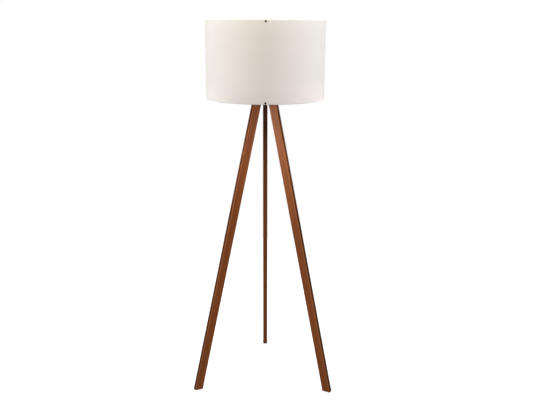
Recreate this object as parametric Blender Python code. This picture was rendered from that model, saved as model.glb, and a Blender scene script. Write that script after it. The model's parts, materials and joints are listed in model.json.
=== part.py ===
"""Tripod floor lamp: three wooden legs on a folding hub, an E27 lampholder and a fabric drum shade.

Units are metres, with +Z up and the front of the lamp towards -Y. The origin is on the floor, at the
middle of the lamp's footprint box. The back leg reaches further out than the shade's front, so the
lamp's own axis stands a little towards -Y of the origin.
"""

import math

import bmesh
import bpy
from mathutils import Matrix

# Overall
LAMP_HEIGHT = 1.500
GAP = 0.0003

# Legs: straight planks, each hinged near its top end
LEG_AZIMUTHS = {"back": 90.0, "front_left": 210.0, "front_right": 330.0}
LEG_TILT = math.radians(13.0)
LEG_THICKNESS = 0.018
LEG_DEPTH = 0.034
LEG_EASED_EDGE = 0.0015
LEG_EASED_STEPS = 2
PIVOT_RADIUS = 0.028
PIVOT_HEIGHT = 1.220
LEG_ABOVE_PIVOT = 0.016
FELT_THICKNESS = 0.002
FELT_INSET = 0.001
FELT_CORNER = 0.003
FELT_CORNER_STEPS = 3

# Hub: a steel plate with a U-shaped bracket under it for each leg
BRACKET_STEEL = 0.002
BRACKET_LENGTH = 0.028
BRACKET_ROUND_STEPS = 12
HUB_PLATE_RADIUS = 0.046
HUB_PLATE_STEEL = 0.003
PLATE_CHAMFER = 0.0006
BRACKET_SCREW_RADIUS = 0.0015
BRACKET_SCREW_HEAD_RADIUS = 0.0030
BRACKET_SCREW_SPACING = 0.016

# Hinge fasteners, M6
BOLT_RADIUS = 0.003
BOLT_HEAD_FLATS = 0.010
BOLT_HEAD_HEIGHT = 0.004
BOLT_END_CHAMFER = 0.0006
WASHER_RADIUS = 0.006
WASHER_THICKNESS = 0.0012
NUT_HEIGHT = 0.006
NUT_HEX_HEIGHT = 0.0042
BOLT_BEYOND_NUT = 0.0015

# Threaded nipple, M10 x 1, with its fasteners and the cord grip
NIPPLE_RADIUS = 0.005
NIPPLE_BORE = 0.0035
NIPPLE_ABOVE_PLATE = 0.009
NIPPLE_IN_GRIP = 0.006
LOCKNUT_FLATS = 0.014
LOCKNUT_HEIGHT = 0.005
NIPPLE_WASHER_RADIUS = 0.010
NIPPLE_WASHER_THICKNESS = 0.0015
GRIP_RADIUS = 0.0075
GRIP_LENGTH = 0.016
GRIP_ROUNDING = 0.0015
GRIP_CORD_BORE = 0.0034
GRIP_SCREW_RADIUS = 0.0015
GRIP_SCREW_HEAD_RADIUS = 0.0027
GRIP_SCREW_HEAD_HEIGHT = 0.0020
GRIP_SCREW_LENGTH = 0.0034

# E27 lampholder, heights above its seat on the hub plate
HOLDER_SEAT_RADIUS = 0.0095
HOLDER_SEAT_RISE = 0.002
HOLDER_DOME_RISE = 0.0165
HOLDER_DOME_STEPS = 4
HOLDER_CAP_RADIUS = 0.0195
HOLDER_CAP_HEIGHT = 0.022
HOLDER_WALL = 0.0018
SKIRT_TOP = 0.058
SKIRT_THREAD_RADIUS = 0.0193
SKIRT_BORE = 0.0152
FLANGE_RADIUS = 0.0225
FLANGE_THICKNESS = 0.002
INSERT_BOTTOM = 0.0115
INSERT_PLATE_BOTTOM = 0.024
INSERT_TOP = 0.027
INSERT_RADIUS = 0.0120
INSERT_PLATE_RADIUS = 0.0148
SHELL_BORE = 0.01345
SHELL_WALL = 0.0004
SHELL_TOP = 0.052
CONTACT_LENGTH = 0.012
CONTACT_WIDTH = 0.005
CONTACT_SHEET = 0.0006
CONTACT_RISE = 0.0012
TERMINAL_SPACING = 0.014
TERMINAL_RADIUS = 0.0015
TERMINAL_HEAD_RADIUS = 0.0028
TERMINAL_HEAD_HEIGHT = 0.0016
TERMINAL_DEPTH = 0.005
COLLAR_RADIUS = 0.027
COLLAR_HEIGHT = 0.010
COLLAR_BORE = 0.0196
COLLAR_RIBS = 24
COLLAR_RIB_DEPTH = 0.0008

# LED bulb, A60 with an E27 cap, heights above its contact
BULB_LENGTH = 0.110
BULB_RADIUS = 0.030
BULB_CONTACT_RADIUS = 0.0045
BULB_CONTACT_HEIGHT = 0.0015
BULB_INSULATOR_RADIUS = 0.0059
BULB_INSULATOR_TOP = 0.006
BULB_CAP_RADIUS = 0.0131
BULB_CAP_TOP = 0.026
BULB_HOUSING_TOP = 0.066
BULB_HOUSING_RADIUS = 0.0290
BULB_HOUSING_WALL = 0.0015
BULB_HOUSING_STEPS = 5
BULB_GLOBE_WALL = 0.0010
BULB_GLOBE_STEPS = 7
LED_BOARD_RADIUS = 0.0235
LED_BOARD_THICKNESS = 0.0016

# Drum shade, its seam turned a little to the right of the front
SHADE_RADIUS = 0.2345
SHADE_HEIGHT = 0.305
SEAM_TURN = math.radians(1.6)
FABRIC = 0.0005
LINER = 0.0005
HEM_DEPTH = 0.011
HOOP_WIRE = 0.0015
SPOKE_WIRE = 0.0017
SPOKE_AZIMUTHS = (90.0, 210.0, 330.0)
SPOKE_BEND_RADIUS = 0.222
SPOKE_BEND_RISE = 0.004
SPOKE_INNER_BEND = 0.040
NOTCH_WIDTH = 0.007
NOTCH_SILL = 0.0007
NOTCH_TOP = 0.014
FITTER_RADIUS = 0.030
SPOKE_IN_FITTER = 0.0015
FITTER_BORE = 0.0200
FITTER_THICKNESS = 0.002
RIVET_FROM_RIM = 0.006
RIVET_HEAD_RADIUS = 0.0040
RIVET_HEAD_HEIGHT = 0.0012
RIVET_CROWN_RADIUS = 0.0024
RIVET_CROWN_HEIGHT = 0.0010
RIVET_EDGE_HEIGHT = 0.0004
RIVET_SHANK_RADIUS = 0.0020
RIVET_CAP_HEIGHT = 0.0016

# Facets round each kind of piece
SHADE_FACETS = 64
WIRE_FACETS = 6
ROUND_FACETS = 24
SMALL_FACETS = 12
SHARP_ANGLE = math.radians(40.0)
WELD_DISTANCE = 1e-6

# Heights and radii that follow from the above
LEG_CUT_HEIGHT = PIVOT_HEIGHT - FELT_THICKNESS
FOOT_RADIUS = PIVOT_RADIUS + LEG_CUT_HEIGHT * math.tan(LEG_TILT)
FOOT_REACH = FOOT_RADIUS + LEG_DEPTH / 2 / math.cos(LEG_TILT)
SHADE_REACH = (SHADE_RADIUS + GAP + RIVET_HEAD_HEIGHT) * math.cos(SEAM_TURN)
AXIS_Y = (SHADE_REACH - FOOT_REACH) / 2
BRACKET_SEAT = LEG_ABOVE_PIVOT + GAP
BRACKET_HALF_SLOT = LEG_THICKNESS / 2 + GAP
BRACKET_HALF_WIDTH = BRACKET_HALF_SLOT + BRACKET_STEEL
PLATE_BOTTOM = PIVOT_HEIGHT + BRACKET_SEAT + BRACKET_STEEL + GAP
PLATE_TOP = PLATE_BOTTOM + HUB_PLATE_STEEL
HOLDER_BASE = PLATE_TOP + GAP
FLANGE_TOP = HOLDER_CAP_HEIGHT + GAP + FLANGE_THICKNESS
FITTER_BOTTOM = HOLDER_BASE + FLANGE_TOP + GAP
COLLAR_BOTTOM = FITTER_BOTTOM + FITTER_THICKNESS + GAP
LOCKNUT_TOP = PLATE_BOTTOM - GAP - NIPPLE_WASHER_THICKNESS - GAP
LOCKNUT_BOTTOM = LOCKNUT_TOP - LOCKNUT_HEIGHT
GRIP_TOP = LOCKNUT_BOTTOM - GAP
BULB_BASE = HOLDER_BASE + INSERT_TOP + GAP + CONTACT_SHEET + CONTACT_RISE + GAP
SHADE_BOTTOM = LAMP_HEIGHT - SHADE_HEIGHT
HOOP_RADIUS = SHADE_RADIUS - FABRIC - GAP - LINER - GAP - HOOP_WIRE
HEM_OUTER = HOOP_RADIUS - HOOP_WIRE - GAP
HEM_INNER = HEM_OUTER - FABRIC
RIVET_CAP_SEAT = HEM_INNER - 2 * GAP
RIVET_END = RIVET_CAP_SEAT - RIVET_CAP_HEIGHT
TOP_HOOP_HEIGHT = LAMP_HEIGHT - FABRIC - GAP - HOOP_WIRE
BOTTOM_HOOP_HEIGHT = SHADE_BOTTOM + FABRIC + GAP + HOOP_WIRE

FINISHES = {
    "walnut": ((0.18, 0.052, 0.017), 0.50, 0.0),
    "felt": ((0.10, 0.08, 0.07), 0.95, 0.0),
    "black_steel": ((0.020, 0.020, 0.021), 0.50, 0.0),
    "zinc_steel": ((0.62, 0.62, 0.60), 0.35, 1.0),
    "brass": ((0.72, 0.52, 0.20), 0.30, 1.0),
    "black_plastic": ((0.018, 0.018, 0.018), 0.40, 0.0),
    "porcelain": ((0.80, 0.79, 0.75), 0.25, 0.0),
    "nickel": ((0.70, 0.69, 0.66), 0.25, 1.0),
    "white_plastic": ((0.82, 0.82, 0.80), 0.40, 0.0),
    "opal_plastic": ((0.90, 0.90, 0.87), 0.30, 0.0),
    "circuit_board": ((0.75, 0.76, 0.74), 0.45, 0.0),
    "cream_fabric": ((0.73, 0.67, 0.60), 0.90, 0.0),
    "white_liner": ((0.85, 0.84, 0.80), 0.45, 0.0),
    "white_wire": ((0.80, 0.80, 0.78), 0.40, 0.0),
}


def clear_scene():
    """Remove every object that the file opened with."""
    for thing in list(bpy.data.objects):
        bpy.data.objects.remove(thing, do_unlink=True)


def make_finishes():
    """One Principled material for each finish."""
    made = {}
    for name, (colour, roughness, metallic) in FINISHES.items():
        finish = bpy.data.materials.new(name)
        finish.use_nodes = True
        shader = finish.node_tree.nodes["Principled BSDF"]
        shader.inputs["Base Color"].default_value = (*colour, 1.0)
        shader.inputs["Roughness"].default_value = roughness
        shader.inputs["Metallic"].default_value = metallic
        made[name] = finish
    return made


def empty(name, parent=None, location=(0, 0, 0), turn=0.0):
    """A frame to hang pieces on, turned about Z by that many degrees."""
    frame = bpy.data.objects.new(name, None)
    frame.parent = parent
    frame.location = location
    frame.rotation_euler = (0, 0, math.radians(turn))
    bpy.context.collection.objects.link(frame)
    return frame


def place(name, mesh, finish, parent, location=(0, 0, 0), rotation=(0, 0, 0)):
    """Put a mesh in the scene as one named piece; pieces may share the mesh."""
    if not mesh.materials:
        mesh.materials.append(finish)
    piece = bpy.data.objects.new(name, mesh)
    piece.parent = parent
    piece.location = location
    piece.rotation_euler = rotation
    bpy.context.collection.objects.link(piece)
    return piece


def finished(bm):
    """Close a bmesh into a mesh with its faces out, smooth but for its sharp edges."""
    bmesh.ops.remove_doubles(bm, verts=bm.verts, dist=WELD_DISTANCE)
    bmesh.ops.recalc_face_normals(bm, faces=bm.faces)
    mesh = bpy.data.meshes.new("piece")
    bm.to_mesh(mesh)
    bm.free()
    return smoothed(mesh)


def smoothed(mesh):
    """Shade a mesh smooth, with its sharp edges kept."""
    mesh.shade_smooth()
    mesh.set_sharp_from_angle(angle=SHARP_ANGLE)
    return mesh


def lathe(profile, facets, closed=True):
    """Turn a profile of (radius, height) points about Z; an open one runs from axis to axis."""
    bm = bmesh.new()
    verts = [bm.verts.new((radius, 0, height)) for radius, height in profile]
    edges = [bm.edges.new(pair) for pair in zip(verts, verts[1:])]
    if closed:
        edges.append(bm.edges.new((verts[-1], verts[0])))
    bmesh.ops.spin(
        bm,
        geom=verts + edges,
        cent=(0, 0, 0),
        axis=(0, 0, 1),
        angle=math.tau,
        steps=facets,
        use_merge=True,
    )
    return finished(bm)


def prism(outline, start, end):
    """Extrude an outline of (x, y) points along Z."""
    bm = bmesh.new()
    face = bm.faces.new([bm.verts.new((x, y, start)) for x, y in outline])
    grown = bmesh.ops.extrude_face_region(bm, geom=[face])["geom"]
    top = [item for item in grown if isinstance(item, bmesh.types.BMVert)]
    bmesh.ops.translate(bm, verts=top, vec=(0, 0, end - start))
    return finished(bm)


def sideways(mesh):
    """Turn a mesh's Z onto Y and its Y onto Z, so an (x, y) outline stands in the XZ plane."""
    mesh.transform(Matrix(((1, 0, 0, 0), (0, 0, 1, 0), (0, 1, 0, 0), (0, 0, 0, 1))))
    mesh.flip_normals()
    return mesh


def arc(radius, start, end, steps):
    """Points on a circle about the origin, from one angle in degrees to another."""
    angles = [math.radians(start + (end - start) * step / steps) for step in range(steps + 1)]
    return [(radius * math.cos(angle), radius * math.sin(angle)) for angle in angles]


def circle(radius, facets):
    """A full circle's points."""
    return arc(radius, 0, 360 * (facets - 1) / facets, facets - 1)


def hexagon(across_flats):
    """A hexagon with flats towards X."""
    return arc(across_flats / 2 / math.cos(math.pi / 6), 30, 330, 5)


def box_outline(width, depth):
    """A rectangle about the origin."""
    return [(sx * width / 2, sy * depth / 2) for sx, sy in ((-1, -1), (1, -1), (1, 1), (-1, 1))]


def rod(radius, start, end, facets=SMALL_FACETS):
    """A plain cylinder along Z."""
    return prism(circle(radius, facets), start, end)


def tube(bore, radius, start, end, facets):
    """A plain hollow cylinder along Z."""
    return lathe([(bore, start), (radius, start), (radius, end), (bore, end)], facets)


def moved(mesh, x=0.0, y=0.0, z=0.0):
    """Shift a mesh."""
    mesh.transform(Matrix.Translation((x, y, z)))
    return mesh


def spun(mesh, degrees):
    """Turn a mesh about Z."""
    mesh.transform(Matrix.Rotation(math.radians(degrees), 4, "Z"))
    return mesh


def combined(base, tools, operation):
    """Cut the tools from a mesh, or join them to it, with exact Booleans."""
    body = bpy.data.objects.new("body", base)
    bpy.context.collection.objects.link(body)
    helpers = []
    for tool in tools:
        helper = bpy.data.objects.new("helper", tool)
        bpy.context.collection.objects.link(helper)
        helpers.append(helper)
        step = body.modifiers.new("step", "BOOLEAN")
        step.operation = operation
        step.solver = "EXACT"
        step.object = helper
    graph = bpy.context.evaluated_depsgraph_get()
    result = bpy.data.meshes.new_from_object(body.evaluated_get(graph))
    for helper in [body, *helpers]:
        bpy.data.objects.remove(helper, do_unlink=True)
    result.materials.clear()
    return smoothed(result)


def leg_mesh():
    """A plank hanging from its pivot at the origin, X outward.

    Its foot is cut level with the floor when it is spread. Its top end has two flats: the outer one
    meets the bracket when the leg is spread, and the inner one when it hangs straight down.
    """
    half = LEG_DEPTH / 2
    rise = half * math.sin(LEG_TILT)
    top_corner = LEG_ABOVE_PIVOT * math.tan(LEG_TILT / 2)
    outline = [
        (-half, (-LEG_CUT_HEIGHT + rise) / math.cos(LEG_TILT)),
        (half, (-LEG_CUT_HEIGHT - rise) / math.cos(LEG_TILT)),
        (half, (LEG_ABOVE_PIVOT - rise) / math.cos(LEG_TILT)),
        (top_corner, LEG_ABOVE_PIVOT),
        (-half, LEG_ABOVE_PIVOT),
    ]
    plank = sideways(prism(outline, -LEG_THICKNESS / 2, LEG_THICKNESS / 2))
    bm = bmesh.new()
    bm.from_mesh(plank)
    long_edges = [edge for edge in bm.edges if edge.calc_length() > LAMP_HEIGHT / 2]
    bmesh.ops.bevel(
        bm,
        geom=long_edges,
        offset=LEG_EASED_EDGE,
        segments=LEG_EASED_STEPS,
        profile=0.5,
        affect="EDGES",
    )
    bore = sideways(rod(BOLT_RADIUS + GAP, -LEG_THICKNESS, LEG_THICKNESS))
    return combined(finished(bm), [bore], "DIFFERENCE")


def felt_mesh():
    """The felt under a foot, with rounded corners."""
    width = LEG_DEPTH / math.cos(LEG_TILT) - 2 * FELT_INSET
    depth = LEG_THICKNESS - 2 * FELT_INSET
    corners = []
    for turn, (sx, sy) in enumerate(((1, 1), (-1, 1), (-1, -1), (1, -1))):
        for x, y in arc(FELT_CORNER, 90 * turn, 90 * turn + 90, FELT_CORNER_STEPS):
            corners.append((x + sx * (width / 2 - FELT_CORNER), y + sy * (depth / 2 - FELT_CORNER)))
    return prism(corners, 0, FELT_THICKNESS - GAP)


def bracket_mesh():
    """A U of folded steel that stands over the leg's top, about the pivot."""
    half = BRACKET_LENGTH / 2
    top = BRACKET_SEAT + BRACKET_STEEL
    outline = [*arc(half, 180, 360, BRACKET_ROUND_STEPS), (half, top), (-half, top)]
    block = sideways(prism(outline, -BRACKET_HALF_WIDTH, BRACKET_HALF_WIDTH))
    slot = prism(box_outline(2 * BRACKET_LENGTH, 2 * BRACKET_HALF_SLOT), -BRACKET_LENGTH, BRACKET_SEAT)
    tools = [slot, sideways(rod(BOLT_RADIUS + GAP, -BRACKET_LENGTH, BRACKET_LENGTH))]
    for side in (-1, 1):
        tools.append(moved(bracket_screw_solid(GAP, BRACKET_SEAT - GAP), x=side * BRACKET_SCREW_SPACING / 2))
    return combined(block, tools, "DIFFERENCE")


def bracket_screw_solid(clearance, bottom):
    """A countersunk screw's shape from its head's flat face up, grown by a clearance."""
    head = BRACKET_SCREW_HEAD_RADIUS + clearance
    shank = BRACKET_SCREW_RADIUS + clearance
    cone_top = bottom + head - shank
    end = BRACKET_SEAT + BRACKET_STEEL + GAP + HUB_PLATE_STEEL - GAP
    profile = [(0, bottom), (head, bottom), (shank, cone_top), (shank, end), (0, end)]
    return lathe(profile, SMALL_FACETS, closed=False)


def hub_plate_mesh():
    """The steel disc, with its centre hole and a tapped hole for each bracket screw."""
    radius = HUB_PLATE_RADIUS
    bore = NIPPLE_RADIUS + GAP
    profile = [
        (bore, PLATE_BOTTOM),
        (radius - PLATE_CHAMFER, PLATE_BOTTOM),
        (radius, PLATE_BOTTOM + PLATE_CHAMFER),
        (radius, PLATE_TOP - PLATE_CHAMFER),
        (radius - PLATE_CHAMFER, PLATE_TOP),
        (bore, PLATE_TOP),
    ]
    holes = []
    for azimuth in LEG_AZIMUTHS.values():
        for side in (-1, 1):
            hole = rod(BRACKET_SCREW_RADIUS + GAP, PLATE_BOTTOM - GAP, PLATE_TOP + GAP)
            moved(hole, x=PIVOT_RADIUS + side * BRACKET_SCREW_SPACING / 2)
            holes.append(spun(hole, azimuth))
    return combined(lathe(profile, ROUND_FACETS), holes, "DIFFERENCE")


def bolt_mesh():
    """A hex-headed bolt along Y, its head at -Y."""
    seat = BRACKET_HALF_WIDTH + GAP + WASHER_THICKNESS + GAP
    end = seat + NUT_HEIGHT + BOLT_BEYOND_NUT
    head = prism(hexagon(BOLT_HEAD_FLATS), -seat - BOLT_HEAD_HEIGHT, -seat)
    inner = BOLT_RADIUS - BOLT_END_CHAMFER
    profile = [
        (0, -seat - GAP),
        (BOLT_RADIUS, -seat - GAP),
        (BOLT_RADIUS, end - BOLT_END_CHAMFER),
        (inner, end),
        (0, end),
    ]
    shank = lathe(profile, SMALL_FACETS, closed=False)
    return sideways(combined(head, [shank], "UNION"))


def nut_mesh():
    """A lock nut along Y on the bolt's far end, with the collar of its nylon ring."""
    start = BRACKET_HALF_WIDTH + GAP + WASHER_THICKNESS + GAP
    collar_start = start + NUT_HEX_HEIGHT
    bore = BOLT_RADIUS + GAP
    body = prism(hexagon(BOLT_HEAD_FLATS), start, collar_start)
    collar = rod(BOLT_HEAD_FLATS / 2 - GAP, collar_start - GAP, start + NUT_HEIGHT)
    hole = rod(bore, start - GAP, start + NUT_HEIGHT + GAP)
    return sideways(combined(combined(body, [collar], "UNION"), [hole], "DIFFERENCE"))


def build_leg_sets(hub, finishes):
    """Each leg with its felt, bracket, hinge bolt, nut, washers and bracket screws."""
    leg = leg_mesh()
    felt = felt_mesh()
    bracket = bracket_mesh()
    bolt = bolt_mesh()
    nut = nut_mesh()
    screw = bracket_screw_solid(0.0, BRACKET_SEAT)
    washer_start = BRACKET_HALF_WIDTH + GAP
    washer = sideways(
        tube(BOLT_RADIUS + GAP, WASHER_RADIUS, washer_start, washer_start + WASHER_THICKNESS, SMALL_FACETS)
    )
    for name, azimuth in LEG_AZIMUTHS.items():
        ring = empty(f"{name}_direction", hub, turn=azimuth)
        pivot = empty(f"{name}_pivot", ring, (PIVOT_RADIUS, 0, PIVOT_HEIGHT))
        place(f"leg_{name}", leg, finishes["walnut"], pivot, rotation=(0, -LEG_TILT, 0))
        foot = (FOOT_RADIUS - PIVOT_RADIUS, 0, -PIVOT_HEIGHT)
        place(f"felt_pad_{name}", felt, finishes["felt"], pivot, foot)
        place(f"leg_bracket_{name}", bracket, finishes["black_steel"], pivot)
        place(f"hinge_bolt_{name}", bolt, finishes["zinc_steel"], pivot)
        place(f"hinge_nut_{name}", nut, finishes["zinc_steel"], pivot)
        place(f"head_washer_{name}", washer, finishes["zinc_steel"], pivot, rotation=(0, 0, math.pi))
        place(f"nut_washer_{name}", washer, finishes["zinc_steel"], pivot)
        for side, label in ((-1, "inner"), (1, "outer")):
            at = (side * BRACKET_SCREW_SPACING / 2, 0, 0)
            place(f"bracket_screw_{name}_{label}", screw, finishes["zinc_steel"], pivot, at)


def build_nipple(hub, finishes):
    """The threaded tube through the hub plate, with its washer, lock nut and cord grip."""
    nipple = tube(
        NIPPLE_BORE,
        NIPPLE_RADIUS,
        GRIP_TOP - NIPPLE_IN_GRIP,
        PLATE_TOP + NIPPLE_ABOVE_PLATE,
        SMALL_FACETS,
    )
    place("threaded_nipple", nipple, finishes["zinc_steel"], hub)
    clear_bore = NIPPLE_RADIUS + GAP
    washer_top = PLATE_BOTTOM - GAP
    washer = tube(
        clear_bore, NIPPLE_WASHER_RADIUS, washer_top - NIPPLE_WASHER_THICKNESS, washer_top, SMALL_FACETS
    )
    place("nipple_washer", washer, finishes["zinc_steel"], hub)
    nut = prism(hexagon(LOCKNUT_FLATS), LOCKNUT_BOTTOM, LOCKNUT_TOP)
    hole = rod(clear_bore, LOCKNUT_BOTTOM - GAP, LOCKNUT_TOP + GAP)
    place("nipple_locknut", spun(combined(nut, [hole], "DIFFERENCE"), 30), finishes["zinc_steel"], hub)
    build_cord_grip(hub, finishes)


def build_cord_grip(hub, finishes):
    """The plastic grip on the nipple's lower end, and the screw that clamps the cord in it."""
    bottom = GRIP_TOP - GRIP_LENGTH
    socket_bottom = GRIP_TOP - NIPPLE_IN_GRIP - GAP
    profile = [
        (GRIP_CORD_BORE, bottom),
        (GRIP_RADIUS - GRIP_ROUNDING, bottom),
        (GRIP_RADIUS, bottom + GRIP_ROUNDING),
        (GRIP_RADIUS, GRIP_TOP),
        (NIPPLE_RADIUS + GAP, GRIP_TOP),
        (NIPPLE_RADIUS + GAP, socket_bottom),
        (GRIP_CORD_BORE, socket_bottom),
    ]
    screw_height = (bottom + socket_bottom) / 2
    hole = sideways(rod(GRIP_SCREW_RADIUS + GAP, -2 * GRIP_RADIUS, 0))
    grip = combined(lathe(profile, SMALL_FACETS), [moved(hole, z=screw_height)], "DIFFERENCE")
    place("cord_grip", grip, finishes["black_plastic"], hub)
    head_face = GRIP_RADIUS + GAP
    profile = [
        (0, head_face + GRIP_SCREW_HEAD_HEIGHT),
        (GRIP_SCREW_HEAD_RADIUS, head_face + GRIP_SCREW_HEAD_HEIGHT),
        (GRIP_SCREW_HEAD_RADIUS, head_face),
        (GRIP_SCREW_RADIUS, head_face),
        (GRIP_SCREW_RADIUS, head_face - GRIP_SCREW_LENGTH),
        (0, head_face - GRIP_SCREW_LENGTH),
    ]
    screw = sideways(lathe(profile, SMALL_FACETS, closed=False))
    place("cord_grip_screw", screw, finishes["zinc_steel"], hub, (0, 0, screw_height), (0, 0, math.pi))


def holder_cap_mesh():
    """The lampholder's domed lower half, open at the top."""
    spread = HOLDER_CAP_RADIUS - HOLDER_SEAT_RADIUS
    outer = [(HOLDER_SEAT_RADIUS, 0)]
    for step in range(HOLDER_DOME_STEPS + 1):
        angle = math.pi / 2 * step / HOLDER_DOME_STEPS
        height = HOLDER_SEAT_RISE + HOLDER_DOME_RISE * (1 - math.cos(angle))
        outer.append((HOLDER_SEAT_RADIUS + spread * math.sin(angle), height))
    outer.append((HOLDER_CAP_RADIUS, HOLDER_CAP_HEIGHT))
    inner = [(radius - HOLDER_WALL, max(height, HOLDER_WALL)) for radius, height in reversed(outer)]
    bore = NIPPLE_RADIUS + GAP
    return lathe([(bore, 0), *outer, *inner[:-1], (bore, HOLDER_WALL)], ROUND_FACETS)


def skirt_mesh():
    """The lampholder's threaded upper half, with the flange that the shade's fitter sits on."""
    start = HOLDER_CAP_HEIGHT + GAP
    lip = SKIRT_THREAD_RADIUS - HOLDER_WALL / 2
    profile = [
        (SKIRT_BORE, start),
        (FLANGE_RADIUS, start),
        (FLANGE_RADIUS, FLANGE_TOP),
        (SKIRT_THREAD_RADIUS, FLANGE_TOP),
        (SKIRT_THREAD_RADIUS, SKIRT_TOP - HOLDER_WALL / 2),
        (lip, SKIRT_TOP),
        (SKIRT_BORE, SKIRT_TOP),
    ]
    return lathe(profile, ROUND_FACETS)


def insert_mesh():
    """The porcelain insert, with a blind hole under it for each terminal screw."""
    profile = [
        (0, INSERT_BOTTOM),
        (INSERT_RADIUS, INSERT_BOTTOM),
        (INSERT_RADIUS, INSERT_PLATE_BOTTOM),
        (INSERT_PLATE_RADIUS, INSERT_PLATE_BOTTOM),
        (INSERT_PLATE_RADIUS, INSERT_TOP),
        (0, INSERT_TOP),
    ]
    holes = []
    for side in (-1, 1):
        hole = rod(TERMINAL_RADIUS + GAP, INSERT_BOTTOM - GAP, INSERT_BOTTOM + TERMINAL_DEPTH + GAP)
        holes.append(moved(hole, x=side * TERMINAL_SPACING / 2))
    return combined(lathe(profile, ROUND_FACETS, closed=False), holes, "DIFFERENCE")


def terminal_screw_mesh():
    """A terminal screw that stands up into the insert."""
    seat = INSERT_BOTTOM - GAP
    end = INSERT_BOTTOM + TERMINAL_DEPTH
    profile = [
        (0, seat - TERMINAL_HEAD_HEIGHT),
        (TERMINAL_HEAD_RADIUS, seat - TERMINAL_HEAD_HEIGHT),
        (TERMINAL_HEAD_RADIUS, seat),
        (TERMINAL_RADIUS, seat),
        (TERMINAL_RADIUS, end),
        (0, end),
    ]
    return lathe(profile, SMALL_FACETS, closed=False)


def contact_mesh():
    """The springy centre contact: a strip bowed up at its middle."""
    half = CONTACT_LENGTH / 2
    bottom = INSERT_TOP + GAP
    middle = bottom + CONTACT_RISE
    lower = [(-half, bottom), (-half / 2, bottom), (-half / 4, middle), (half / 4, middle)]
    lower += [(half / 2, bottom), (half, bottom)]
    upper = [(x, z + CONTACT_SHEET) for x, z in reversed(lower)]
    return sideways(prism(lower + upper, -CONTACT_WIDTH / 2, CONTACT_WIDTH / 2))


def collar_mesh():
    """The threaded ring that clamps the shade, ribbed for the fingers."""
    outline = []
    for rib in range(COLLAR_RIBS):
        for share, radius in ((0.0, COLLAR_RADIUS), (0.5, COLLAR_RADIUS - COLLAR_RIB_DEPTH)):
            angle = math.tau * (rib + share) / COLLAR_RIBS
            outline.append((radius * math.cos(angle), radius * math.sin(angle)))
    bore = rod(COLLAR_BORE, -GAP, COLLAR_HEIGHT + GAP, ROUND_FACETS)
    return combined(prism(outline, 0, COLLAR_HEIGHT), [bore], "DIFFERENCE")


def build_lampholder(hub, finishes):
    """The E27 lampholder on the hub plate, and the ring that clamps the shade on it."""
    base = empty("lampholder_base", hub, (0, 0, HOLDER_BASE))
    shell_bottom = INSERT_TOP + GAP
    shell = tube(SHELL_BORE, SHELL_BORE + SHELL_WALL, shell_bottom, SHELL_TOP, ROUND_FACETS)
    place("lampholder_cap", holder_cap_mesh(), finishes["black_plastic"], base)
    place("lampholder_skirt", skirt_mesh(), finishes["black_plastic"], base)
    place("lampholder_insert", insert_mesh(), finishes["porcelain"], base)
    place("lampholder_screw_shell", shell, finishes["brass"], base)
    place("lampholder_centre_contact", contact_mesh(), finishes["brass"], base)
    screw = terminal_screw_mesh()
    for side, label in ((-1, "live"), (1, "neutral")):
        at = (side * TERMINAL_SPACING / 2, 0, 0)
        place(f"terminal_screw_{label}", screw, finishes["brass"], base, at)
    place("shade_ring", collar_mesh(), finishes["black_plastic"], hub, (0, 0, COLLAR_BOTTOM))


def bulb_outline(steps, shrink):
    """The globe's (radius, height) points from its rim up to its crown, moved in by shrink."""
    centre = BULB_LENGTH - BULB_RADIUS
    rim_angle = -math.acos((BULB_HOUSING_RADIUS + GAP) / BULB_RADIUS)
    points = []
    for step in range(steps + 1):
        angle = rim_angle + (math.pi / 2 - rim_angle) * step / steps
        radius = (BULB_RADIUS - shrink) * math.cos(angle)
        points.append((max(radius, 0.0), centre + (BULB_RADIUS - shrink) * math.sin(angle)))
    points[-1] = (0.0, points[-1][1])
    return points


def build_bulb(hub, finishes):
    """The LED bulb: contact, insulator, screw cap, housing, light board and opal globe."""
    base = empty("bulb_base", hub, (0, 0, BULB_BASE))
    contact = rod(BULB_CONTACT_RADIUS, 0, BULB_CONTACT_HEIGHT)
    place("bulb_contact", contact, finishes["brass"], base)
    insulator_profile = [
        (0, BULB_CONTACT_HEIGHT + GAP),
        (BULB_INSULATOR_RADIUS, BULB_CONTACT_HEIGHT + GAP),
        (BULB_CAP_RADIUS - SHELL_WALL - GAP, BULB_INSULATOR_TOP),
        (0, BULB_INSULATOR_TOP),
    ]
    insulator = lathe(insulator_profile, SMALL_FACETS, closed=False)
    place("bulb_insulator", insulator, finishes["black_plastic"], base)
    cap = tube(
        BULB_CAP_RADIUS - SHELL_WALL, BULB_CAP_RADIUS, BULB_INSULATOR_TOP + GAP, BULB_CAP_TOP, ROUND_FACETS
    )
    place("bulb_screw_cap", cap, finishes["nickel"], base)
    place("bulb_housing", bulb_housing_mesh(), finishes["white_plastic"], base)
    globe_outer = bulb_outline(BULB_GLOBE_STEPS, 0.0)
    rim_height = globe_outer[0][1]
    globe_inner = [(r, z) for r, z in bulb_outline(BULB_GLOBE_STEPS, BULB_GLOBE_WALL) if z > rim_height]
    rim = (globe_inner[0][0], rim_height)
    globe = lathe([*globe_outer[::-1], rim, *globe_inner], ROUND_FACETS, closed=False)
    place("bulb_globe", globe, finishes["opal_plastic"], base)
    board_bottom = BULB_HOUSING_TOP + GAP
    board = rod(LED_BOARD_RADIUS, board_bottom, board_bottom + LED_BOARD_THICKNESS)
    place("bulb_light_board", board, finishes["circuit_board"], base)


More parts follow.
